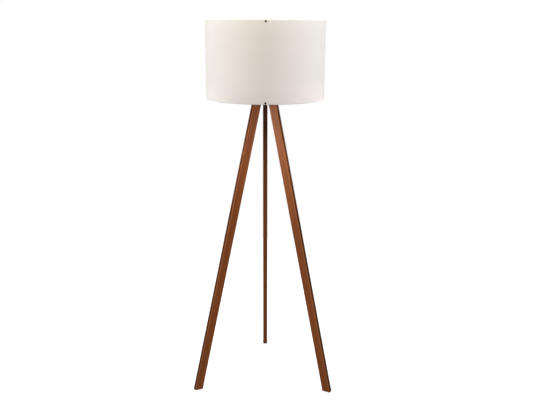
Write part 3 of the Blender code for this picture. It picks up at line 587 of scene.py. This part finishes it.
def moulded(name, colour, roughness, speck, bump, scale=900.0, patch_share=0.5):
    """Moulded plastic, ceramic or coating: fine texture with a little variation in tone."""
    material = principled(name, colour, roughness)
    graph = Graph(material)
    grain = graph.noise(graph.place(), scale, 4.0, 0.6)
    patches = graph.noise(graph.place(), 55.0, 3.0, 0.5)
    lighter = tuple(min(1.0, c * (1 + speck) + speck * 0.02) for c in colour)
    darker = tuple(c * (1 - speck) for c in colour)
    grain_part = graph.math("MULTIPLY", grain, 1.0 - patch_share)
    blend = graph.math("ADD", grain_part, graph.math("MULTIPLY", patches, patch_share))
    graph.colour(graph.ramp(blend, (0.36, darker), (0.64, lighter)))
    graph.roughness(graph.range(patches, 0.3, 0.7, roughness - 0.06, roughness + 0.08))
    graph.bump(grain, bump, 0.0002)
    return material


def metal(name, colour, roughness, streak, stretch=(1.0, 1.0, 1.0), wear=0.0):
    """Bare or plated metal, with fine marks stretched along a direction and dull patches."""
    material = principled(name, colour, roughness, 1.0)
    graph = Graph(material)
    marks = graph.noise(graph.scaled(graph.place(), tuple(700.0 * s for s in stretch)), 1.0, 3.0, 0.6)
    patches = graph.noise(graph.place(), 90.0, 4.0, 0.6, 0.4)
    dull = tuple(c * (0.80 - wear) for c in colour)
    graph.colour(graph.ramp(patches, (0.34, dull), (0.60, colour)))
    mixed = graph.math("ADD", graph.math("MULTIPLY", marks, 0.6), graph.math("MULTIPLY", patches, 0.4))
    graph.roughness(graph.range(mixed, 0.3, 0.7, roughness - 0.10, roughness + 0.14))
    graph.bump(marks, streak, 0.0001)
    return material


def felt(name):
    """Dense dark felt, its fibres lying every way."""
    material = principled(name, (0.055, 0.045, 0.04), 1.0)
    graph = Graph(material)
    fibres = graph.noise(graph.place(), 1600.0, 5.0, 0.75, 1.2)
    graph.colour(graph.ramp(fibres, (0.30, (0.02, 0.016, 0.014)), (0.70, (0.12, 0.10, 0.09))))
    graph.bump(fibres, 0.8, 0.0006)
    graph.shader.inputs["Sheen Weight"].default_value = 0.2
    return material


def light_board(name):
    """The LED board: white lacquer with a ring of yellow light chips."""
    material = principled(name, (0.86, 0.87, 0.85), 0.45)
    graph = Graph(material)
    x, y, _ = graph.split(graph.place())
    dx, dy = graph.math("SUBTRACT", x, AXIS.x), graph.math("SUBTRACT", y, AXIS.y)
    angle = graph.math("ARCTAN2", dy, dx)
    squares = graph.math("ADD", graph.math("MULTIPLY", dx, dx), graph.math("MULTIPLY", dy, dy))
    radius = graph.math("SQRT", squares)
    chips, ring, half_chip = 12.0, 0.016, 0.0018
    off_ring = graph.math("ABSOLUTE", graph.math("SUBTRACT", radius, ring))
    near_ring = graph.math("LESS_THAN", off_ring, half_chip)
    spoke = graph.math("COSINE", graph.math("MULTIPLY", angle, chips))
    chip = graph.math("MULTIPLY", near_ring, graph.math("GREATER_THAN", spoke, 0.55))
    grain = graph.noise(graph.place(), 1200.0, 3.0)
    lacquer = graph.ramp(grain, (0.3, (0.78, 0.79, 0.77)), (0.7, (0.88, 0.89, 0.87)))
    graph.colour(graph.mix(chip, lacquer, (0.85, 0.62, 0.10)))
    graph.roughness(graph.range(grain, 0.3, 0.7, 0.40, 0.52))
    return material


def make_materials():
    """Every finish but the wood, which has one for each leg."""
    return {
        "fabric": woven("cream_fabric", (0.745, 0.704, 0.660), (0.698, 0.654, 0.606), 1250.0),
        "liner": moulded("white_liner", (0.84, 0.83, 0.80), 0.46, 0.02, 0.06, 700.0, 0.1),
        "white_wire": moulded("white_wire", (0.80, 0.80, 0.78), 0.40, 0.05, 0.25),
        "black_steel": moulded("black_powder_coat", (0.022, 0.022, 0.024), 0.48, 0.25, 0.45, 1300.0),
        "zinc": metal("zinc_plate", (0.66, 0.67, 0.66), 0.34, 0.25, (1.0, 1.0, 0.4), 0.08),
        "brass": metal("brass", (0.78, 0.58, 0.26), 0.30, 0.15, (0.3, 0.3, 1.0), 0.10),
        "nickel": metal("nickel_plate", (0.76, 0.75, 0.72), 0.24, 0.15, (0.3, 0.3, 1.0), 0.05),
        "black_plastic": moulded("black_thermoplastic", (0.020, 0.020, 0.021), 0.42, 0.20, 0.30),
        "rivet": moulded("black_rivet_plastic", (0.002, 0.002, 0.002), 0.60, 0.20, 0.20, 1600.0),
        "porcelain": moulded("porcelain", (0.82, 0.81, 0.77), 0.22, 0.03, 0.08, 500.0),
        "white_plastic": moulded("white_plastic", (0.84, 0.84, 0.82), 0.38, 0.03, 0.12),
        "opal": opal("opal_globe"),
        "felt": felt("felt"),
        "board": light_board("light_board"),
    }


def opal(name):
    """The bulb's frosted opal diffuser."""
    material = principled(name, (0.90, 0.90, 0.87), 0.32)
    graph = Graph(material)
    frost = graph.noise(graph.place(), 1500.0, 3.0)
    haze = graph.noise(graph.place(), 60.0, 3.0)
    graph.colour(graph.ramp(haze, (0.35, (0.86, 0.86, 0.83)), (0.65, (0.92, 0.92, 0.90))))
    graph.roughness(graph.range(frost, 0.3, 0.7, 0.26, 0.40))
    graph.bump(frost, 0.06, 0.0001)
    graph.shader.inputs["Subsurface Weight"].default_value = 0.25
    graph.shader.inputs["Subsurface Radius"].default_value = (0.006, 0.006, 0.006)
    return material


# ---------------------------------------------------------------- shade

def cover_section(inset, notched):
    """The cloth's closed (radius, height) outline, folded over the hoop at each rim.

    inset moves the whole outline in towards the hoops, for the layer under the lap. A notched outline
    has its lower fold cut away, for a spoke.
    """
    wall = SHADE_RADIUS - inset
    rise = SHADE_HIGH - TOP_HOOP - inset

    def layer(depth):
        """One side of the cloth, from the lower hem's edge out and up to the upper hem's edge."""
        out, up = wall - HOOP_RADIUS - depth, rise - depth
        low, high = (HOOP_RADIUS, BOTTOM_HOOP), (HOOP_RADIUS, TOP_HOOP)
        line = [(HOOP_RADIUS - up, SHADE_LOW + HEM), (HOOP_RADIUS - up, SHADE_LOW + HEM / 2)]
        line += arc(low, (up, up), 180, 270, ROLL_STEPS)
        line += arc(low, (out, up), 270, 360, ROLL_STEPS)[1:]
        for step in range(1, WALL_STEPS):
            share = step / WALL_STEPS
            line.append((wall - depth, BOTTOM_HOOP + (TOP_HOOP - BOTTOM_HOOP) * share))
        line += arc(high, (out, up), 0, 90, ROLL_STEPS)
        line += arc(high, (up, up), 90, 180, ROLL_STEPS)[1:]
        line += [(HOOP_RADIUS - up, SHADE_HIGH - HEM / 2), (HOOP_RADIUS - up, SHADE_HIGH - HEM)]
        if notched:
            sill = SHADE_LOW + NOTCH_SILL
            fold_top = SHADE_LOW + 2 * HEM
            line = [(r, min(z, sill)) if r < HOOP_RADIUS and z < fold_top else (r, z) for r, z in line]
        return line

    return layer(0.0) + layer(CLOTH)[::-1]


def cover_angles(start, sweep):
    """(angle, notched) steps round the cloth, with a close pair at each edge of each spoke's notch."""
    steps = [(start + sweep * step / SHADE_STEPS, False) for step in range(SHADE_STEPS + 1)]
    half, nick = NOTCH_HALF_WIDTH / SHADE_RADIUS, NOTCH_EDGE / SHADE_RADIUS
    for spoke in SPOKES:
        while spoke < start:
            spoke += math.tau
        steps = [(angle, notched) for angle, notched in steps if abs(angle - spoke) > half + 2 * nick]
        steps += [(spoke - half - nick, False), (spoke - half, True), (spoke, True)]
        steps += [(spoke + half, True), (spoke + half + nick, False)]
    return sorted(steps)


def ripple(angle, height):
    """How far the cloth stands off a true drum, in two waves that fade at the rims."""
    span = (height - SHADE_LOW) / (SHADE_HIGH - SHADE_LOW)
    broad, short = RIPPLES
    wave = math.sin(3 * angle + 0.7) * broad + math.sin(7 * angle + 2.1 + 2.0 * span) * short
    return wave * math.sin(math.pi * min(max(span, 0.0), 1.0))


def make_shade(finishes):
    """The cover, its liner, hoop, frame and rivets."""
    start = SEAM + LAP_END / SHADE_RADIUS - LAP / SHADE_RADIUS
    sweep = math.tau + LAP / SHADE_RADIUS
    rows = []
    for angle, notched in cover_angles(start, sweep):
        run = (angle - start) * SHADE_RADIUS
        under = 1.0 - min(max((run - LAP) / UNDERLAP_RAMP, 0.0), 1.0)
        row = []
        for radius, height in cover_section(UNDERLAP_DEPTH * under, notched):
            reach = radius + ripple(angle, height)
            row.append((AXIS.x + reach * math.cos(angle), AXIS.y + reach * math.sin(angle), height))
        rows.append(row)
    mesh = grid_mesh(rows, wrap_columns=True, cap=True)
    cover = piece("fabric_cover", mesh, finishes["fabric"], "shade", "shade_cover", finish="cream_fabric")
    height = SHADE_HIGH - SHADE_LOW + 2 * (HEM + 2 * (SHADE_HIGH - TOP_HOOP))
    make_liner(finishes)
    make_frame(finishes)
    for label in ("top", "bottom"):
        make_rivet(label, finishes)


def make_liner(finishes):
    """The styrene sheet behind the cloth, lapped at the front."""
    low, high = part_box("shade_liner")
    outer = (high.x - low.x) / 2
    lap = LINER_LAP / outer
    rows = []
    for step in range(LINER_STEPS + 1):
        angle = SEAM - lap / 2 + (math.tau + lap) * step / LINER_STEPS
        inner_layer = max(0.0, 1.0 - step / LINER_LAP_STEPS)
        reach = outer - UNDERLAP_DEPTH - LINER_DIP * inner_layer
        back = reach - LINER_SHEET
        ring = [(reach, low.z), (reach, high.z), (back, high.z), (back, low.z)]
        rows.append([(AXIS.x + r * math.cos(angle), AXIS.y + r * math.sin(angle), z) for r, z in ring])
    mesh = grid_mesh(rows, wrap_columns=True, cap=True)
    piece("styrene_liner", mesh, finishes["liner"], "shade", "shade_liner", finish="white_liner")


def tube_along(path, radius, sides):
    """A round wire through points that lie in one upright plane through the lamp's axis."""
    rows = []
    for index, point in enumerate(path):
        before, after = path[max(index - 1, 0)], path[min(index + 1, len(path) - 1)]
        ahead = (after - before).normalized()
        level = ahead.cross(Vector((0, 0, 1))).normalized()
        up = level.cross(ahead)
        ring = []
        for side in range(sides):
            angle = math.tau * side / sides
            ring.append(point + level * radius * math.cos(angle) + up * radius * math.sin(angle))
        rows.append(ring)
    return grid_mesh(rows, wrap_columns=True, cap=True)


def joined(meshes):
    """Several meshes as one."""
    bm = bmesh.new()
    for mesh in meshes:
        bm.from_mesh(mesh)
    return closed_mesh(bm)


def make_frame(finishes):
    """The lower hoop, spokes and fitter, as round bent wire welded to a pressed ring."""
    base = Vector((AXIS.x, AXIS.y, 0.0))
    hoop = hoop_ring(BOTTOM_HOOP, base)
    seat = JOINTS["shade_turn"]["pos_m"][2]
    top = JOINTS["shade_ring_turn"]["pos_m"][2]
    thick = (top - seat) * FITTER_SHARE
    parts = [hoop, turned(fitter_section(seat, seat + thick), FITTER_STEPS, base)]
    middle = seat + thick / 2
    for leg in LEGS:
        out = Vector(MOUNTS[f"foot_{leg}"]["pos_m"]) - base
        out.z = 0.0
        out.normalize()
        bend, rise = SPOKE_OUTER_BEND
        knees = [(HOOP_RADIUS, BOTTOM_HOOP), (bend, BOTTOM_HOOP + rise)]
        knees += [(SPOKE_INNER_BEND, middle), (SPOKE_WELD, middle)]
        path = [base + out * r + Vector((0, 0, z)) for r, z in smoothed_path(knees)]
        parts.append(tube_along(path, SPOKE_WIRE, SPOKE_SIDES))
    piece("wire_frame", joined(parts), finishes["white_wire"], "shade", "shade_frame", finish="white_wire")
    ring = hoop_ring(TOP_HOOP, base)
    piece("upper_hoop", ring, finishes["white_wire"], "shade", "shade_top_hoop", finish="white_wire")


def hoop_ring(height, base):
    """A hoop of round wire; its section's last step closes the circle."""
    section = arc((HOOP_RADIUS, height), (WIRE, WIRE), 0, HOOP_ARC, HOOP_ARC_STEPS)
    return turned(section, HOOP_FACETS, base)


def fitter_section(low, high):
    """The fitter's closed outline, from one height to another, with rolled edges."""
    lip = FITTER_LIP
    corners = ((FITTER_RIM - lip, low + lip), (FITTER_RIM - lip, high - lip))
    corners += ((FITTER_BORE + lip, high - lip), (FITTER_BORE + lip, low + lip))
    line = []
    for turn, corner in enumerate(corners):
        line += arc(corner, (lip, lip), 90 * turn - 90, 90 * turn, 2)
    return line


def smoothed_path(knees, rounding=0.35, steps=5):
    """A bent line's points with each inner corner rounded by a quadratic curve."""
    points = [knees[0]]
    for before, corner, after in zip(knees, knees[1:], knees[2:]):
        reach_in = min(BEND_REACH, rounding * math.dist(before, corner))
        reach_out = min(BEND_REACH, rounding * math.dist(corner, after))
        enter = tuple(c + (b - c) * reach_in / math.dist(before, corner) for b, c in zip(before, corner))
        leave = tuple(c + (a - c) * reach_out / math.dist(corner, after) for a, c in zip(after, corner))
        ends = tuple(zip(enter, corner, leave))
        for step in range(steps + 1):
            t = step / steps
            points.append(tuple((1 - t) ** 2 * e + 2 * t * (1 - t) * c + t * t * v for e, c, v in ends))
    points.append(knees[-1])
    return points


def make_rivet(label, finishes):
    """A push rivet's domed head with its shank, and the cap inside the shade."""
    low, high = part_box(f"seam_rivet_{label}")
    radius, height = (high.z - low.z) / 2, (high.z + low.z) / 2
    lean = -math.sin(SEAM)
    face, shank_end = (AXIS.y - low.y) / lean, (AXIS.y - high.y) / lean
    seat = SHADE_RADIUS + RIVET_LIFT
    dome = face - seat
    head = [(0.0, face)] + [(radius * out, face - dome * down) for out, down in RIVET_CROWN]
    head += [(radius, seat), (SHANK_RADIUS, seat), (SHANK_RADIUS, shank_end), (0.0, shank_end)]
    lay_down = Matrix(((0, 0, 1, 0), (0, 1, 0, 0), (-1, 0, 0, 0), (0, 0, 0, 1)))
    to_seam = Matrix.Translation((AXIS.x, AXIS.y, height)) @ Matrix.Rotation(SEAM, 4, "Z") @ lay_down
    mesh = turned(head, RIVET_STEPS)
    mesh.transform(to_seam)
    piece(f"rivet_{label}", mesh, finishes["rivet"], "shade", f"seam_rivet_{label}", finish="black_plastic")
    low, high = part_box(f"seam_rivet_cap_{label}")
    outer, inner = (AXIS.y - low.y) / lean, (AXIS.y - high.y) / lean
    rounding = (outer - inner) * RIVET_CAP_ROUNDING
    cap = [(RIVET_CAP_BORE, outer), (radius, outer), (radius, inner + rounding)]
    cap += [(radius - rounding, inner), (RIVET_CAP_BORE, inner)]
    mesh = turned(cap, RIVET_STEPS)
    mesh.transform(to_seam)
    piece(f"rivet_cap_{label}", mesh, finishes["rivet"], "shade", f"seam_rivet_cap_{label}",
          finish="black_plastic")


# ---------------------------------------------------------------- lampholder and bulb

def thread(pitch, depth, low, high):
    """A screw thread's swell, between two heights, fading out at each end."""

    def swell(angle, radius, height):
        fade = min(1.0, max(0.0, (height - low) / pitch)) * min(1.0, max(0.0, (high - height) / pitch))
        return depth * (math.cos(math.tau * height / pitch - angle) - 1.0) / 2 * fade

    return swell


def climb(radius, low, high, steps):
    """Points straight up a wall, close enough for a thread."""
    return [(radius, low + (high - low) * step / steps) for step in range(steps + 1)]


def make_fittings(finishes):
    """The lampholder's skirt and cap and the shade ring, with their threads and knurling."""
    base = (AXIS.x, AXIS.y, 0.0)
    make_skirt(finishes, base)
    make_ring(finishes, base)
    make_cap(finishes, base)


def make_skirt(finishes, base):
    """The lampholder's threaded skirt with its flange."""
    low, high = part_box("lampholder_skirt")
    flange, lip = (high.x - low.x) / 2, MOULDED_LIP
    top = low.z + FLANGE_THICKNESS
    outline = [(SKIRT_BORE, low.z), (flange - lip / 2, low.z), (flange, low.z + lip / 2)]
    outline += [(flange, top - lip / 2), (flange - lip / 2, top), (SKIRT_RADIUS, top)]
    outline += climb(SKIRT_RADIUS, top + GAP, high.z - lip, THREAD_STEPS)
    outline += [(SKIRT_RADIUS - lip, high.z), (SKIRT_BORE + lip / 2, high.z)]
    outline += [(SKIRT_BORE, high.z - lip / 2)]
    ridge = thread(SKIRT_PITCH, SKIRT_THREAD_DEPTH, top, high.z - lip)

    def swell(angle, radius, height):
        """The thread, on the skirt's outer wall alone."""
        return ridge(angle, radius, height) if abs(radius - SKIRT_RADIUS) < 1e-6 else 0.0

    mesh = turned(outline, THREAD_STEPS, base, swell)
    piece("threaded_skirt", mesh, finishes["black_plastic"], "hub", "lampholder_skirt",
          finish="black_plastic")


def make_ring(finishes, base):
    """The knurled ring that clamps the shade."""
    low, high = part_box("shade_ring")
    grip, lip = (high.x - low.x) / 2, MOULDED_LIP
    outline = [(RING_BORE, low.z), (grip - lip, low.z), (grip, low.z + lip), (grip, high.z - lip * 1.5)]
    outline += [(grip - lip * 1.5, high.z), (RING_BORE + lip, high.z), (RING_BORE, high.z - lip)]

    def knurl(angle, radius, height):
        """Grooves round the grip."""
        return RIB_DEPTH * (math.cos(RING_RIBS * angle) - 1.0) / 2 * (radius > grip - lip * 2)

    mesh = turned(outline, RING_RIBS * RIB_STEPS, base, knurl)
    piece("knurled_ring", mesh, finishes["black_plastic"], "shade_ring", "shade_ring",
          finish="black_plastic")


def make_cap(finishes, base):
    """The lampholder's domed cap, with a groove under its mouth."""
    low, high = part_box("lampholder_cap")
    mouth, dome_rise = (high.x - low.x) / 2, (high.z - low.z) * CAP_DOME_SHARE
    middle = (CAP_SEAT, low.z + CAP_STEP + dome_rise)
    dome = arc(middle, (mouth - CAP_SEAT, dome_rise), -90, 0, CAP_DOME_STEPS)
    groove_low, groove_middle, groove_high = (high.z - drop for drop in CAP_GROOVE)
    outer = [(CAP_HOLE, low.z), (CAP_SEAT, low.z), *dome]
    outer += [(mouth, groove_low), (mouth - CAP_GROOVE_DEPTH, groove_middle)]
    outer += [(mouth, groove_high), (mouth, high.z)]
    inner_dome = [(r - CAP_WALL, max(z, low.z + CAP_WALL)) for r, z in reversed(dome)]
    inner = [(mouth - CAP_WALL, high.z), *inner_dome, (CAP_HOLE, low.z + CAP_WALL)]
    mesh = turned(outer + inner, CAP_FACETS, base)
    piece("domed_cap", mesh, finishes["black_plastic"], "hub", "lampholder_cap", finish="black_plastic")


def make_bulb(finishes):
    """The bulb's globe, housing and screw cap, turned finely."""
    base = (AXIS.x, AXIS.y, 0.0)
    make_globe(finishes, base)
    make_housing(finishes, base)
    low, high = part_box("bulb_screw_cap")
    cap = (high.x - low.x) / 2
    outer = climb(cap, low.z, high.z, SCREW_CAP_STEPS)
    inner = climb(cap - SCREW_CAP_WALL, high.z, low.z, SCREW_CAP_STEPS)
    ridge = thread(SCREW_PITCH, SCREW_DEPTH, low.z - SCREW_RUN_IN, high.z - SCREW_RUN_OUT)
    mesh = turned(outer + inner, THREAD_STEPS, base, ridge)
    piece("bulb_cap", mesh, finishes["nickel"], "bulb", "bulb_screw_cap", finish="nickel")


def make_globe(finishes, base):
    """The bulb's diffuser, a shell open at its rim."""
    low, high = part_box("bulb_globe")
    radius = (high.x - low.x) / 2
    centre = high.z - radius
    within = radius - GLOBE_WALL
    rim = -math.degrees(math.asin((centre - low.z) / radius))
    inner_rim = -math.degrees(math.asin((centre - low.z) / within))
    outer = arc((0.0, centre), (radius, radius), 90, rim, GLOBE_STEPS)
    inner = arc((0.0, centre), (within, within), inner_rim, 90, GLOBE_STEPS)
    mesh = turned([(max(r, 0.0), z) for r, z in outer + inner], THREAD_STEPS, base)
    piece("opal_globe", mesh, finishes["opal"], "bulb", "bulb_globe", finish="opal_plastic")


def make_housing(finishes, base):
    """The bulb's flared housing, with shallow fins and a shelf for the light board."""
    low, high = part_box("bulb_housing")
    wide = (high.x - low.x) / 2
    flare = []
    for step in range(HOUSING_STEPS + 1):
        share = step / HOUSING_STEPS
        reach = HOUSING_NECK + (wide - HOUSING_NECK) * math.sin(math.pi / 2 * share)
        flare.append((reach, low.z + (high.z - low.z) * share))
    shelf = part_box("bulb_light_board")[0].z - GAP
    under = shelf - HOUSING_WALL
    lining = [(r - HOUSING_WALL, z) for r, z in flare if z < under]
    inside = wide - HOUSING_WALL
    outline = flare + [(inside, high.z), (inside, shelf), (0.0, shelf), (0.0, under)] + lining[::-1]

    def fins(angle, radius, height):
        """Shallow grooves up the middle of the flare."""
        grooved = low.z + FIN_START < height < shelf - FIN_STOP and radius > HOUSING_NECK
        return FIN_DEPTH * (math.cos(FINS * angle) - 1.0) / 2 * grooved

    mesh = turned(outline, HOUSING_FACETS, base, fins)
    piece("bulb_body", mesh, finishes["white_plastic"], "bulb", "bulb_housing", finish="white_plastic")


# ---------------------------------------------------------------- finishes on the CAD nodes

NODE_FINISHES = {
    "felt_pad": "felt",
    "hub_plate": "black_steel",
    "leg_bracket": "black_steel",
    "hinge_": "zinc",
    "head_washer": "zinc",
    "nut_washer": "zinc",
    "bracket_screw": "zinc",
    "threaded_nipple": "zinc",
    "nipple_": "zinc",
    "cord_grip_screw": "zinc",
    "cord_grip": "black_plastic",
    "lampholder_insert": "porcelain",
    "lampholder_screw_shell": "brass",
    "lampholder_centre_contact": "brass",
    "terminal_screw": "brass",
    "bulb_contact": "brass",
    "bulb_insulator": "black_plastic",
    "bulb_light_board": "board",
}


def finish_nodes(finishes):
    """Give each CAD node that stays its own finish."""
    for name, node in NODES.items():
        for start, finish in NODE_FINISHES.items():
            if name.startswith(start):
                paint(node, finishes[finish])
                break
    for leg in LEGS:
        paint(NODES[f"leg_{leg}"], walnut(f"walnut_{leg}", leg))


def paint(node, material):
    """Put a material in every slot of a CAD node."""
    for slot in node.material_slots:
        slot.material = material
    if not node.material_slots:
        node.data.materials.append(material)


make_camera()
make_studio()
finishes = make_materials()
finish_nodes(finishes)
make_shade(finishes)
make_fittings(finishes)
make_bulb(finishes)
